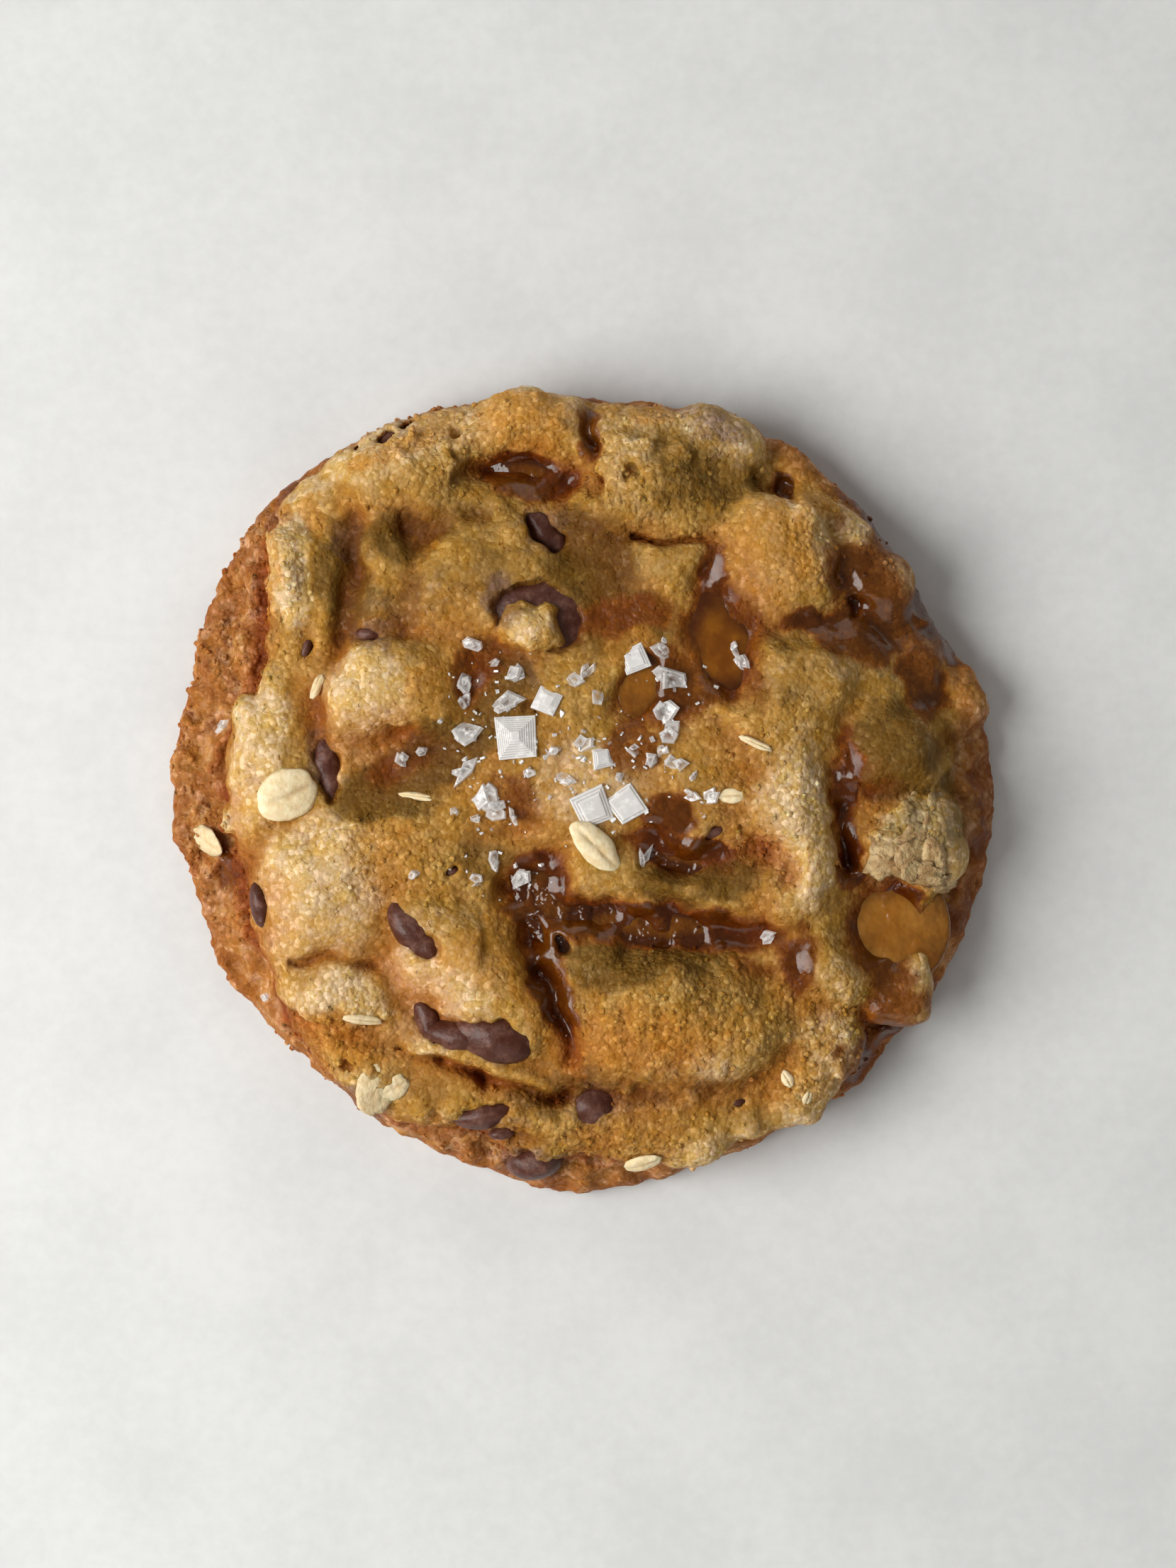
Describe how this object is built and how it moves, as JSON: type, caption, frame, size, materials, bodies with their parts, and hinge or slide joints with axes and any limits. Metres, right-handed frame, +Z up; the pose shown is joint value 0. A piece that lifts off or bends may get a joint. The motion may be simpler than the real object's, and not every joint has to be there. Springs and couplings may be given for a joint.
{
  "type": "oatmeal toffee cookie",
  "caption": "Thick round oatmeal cookie with a craggy crust over a wider base, chocolate chips and melted toffee set in it, rolled oats and flaked salt on top; lies flat.",
  "frame": {"origin": "on the flat base that the cookie rests on, under the middle of its outline", "axes": "+Z up through the cookie, +X to the picture's right, +Y to the picture's top"},
  "size_m": [0.1006, 0.0972, 0.0204],
  "materials": {
    "dough": "matte, sugary baked crust",
    "chocolate": "satin, lightly bloomed",
    "toffee": "glossy, amber",
    "oat": "matte, papery",
    "salt": "glossy, clear white crystal"
  },
  "bodies": {
    "root": {"dough": "dough", "chip_1": "chocolate", "chip_2": "chocolate", "chip_3": "chocolate", "chip_4": "chocolate", "chip_5": "chocolate", "chip_6": "chocolate", "chip_7": "chocolate", "chip_8": "chocolate", "chip_9": "chocolate", "toffee_1": "toffee", "toffee_2": "toffee", "toffee_3": "toffee", "toffee_4": "toffee", "toffee_5": "toffee", "toffee_6": "toffee", "toffee_7": "toffee"}
  },
  "joints": []
}
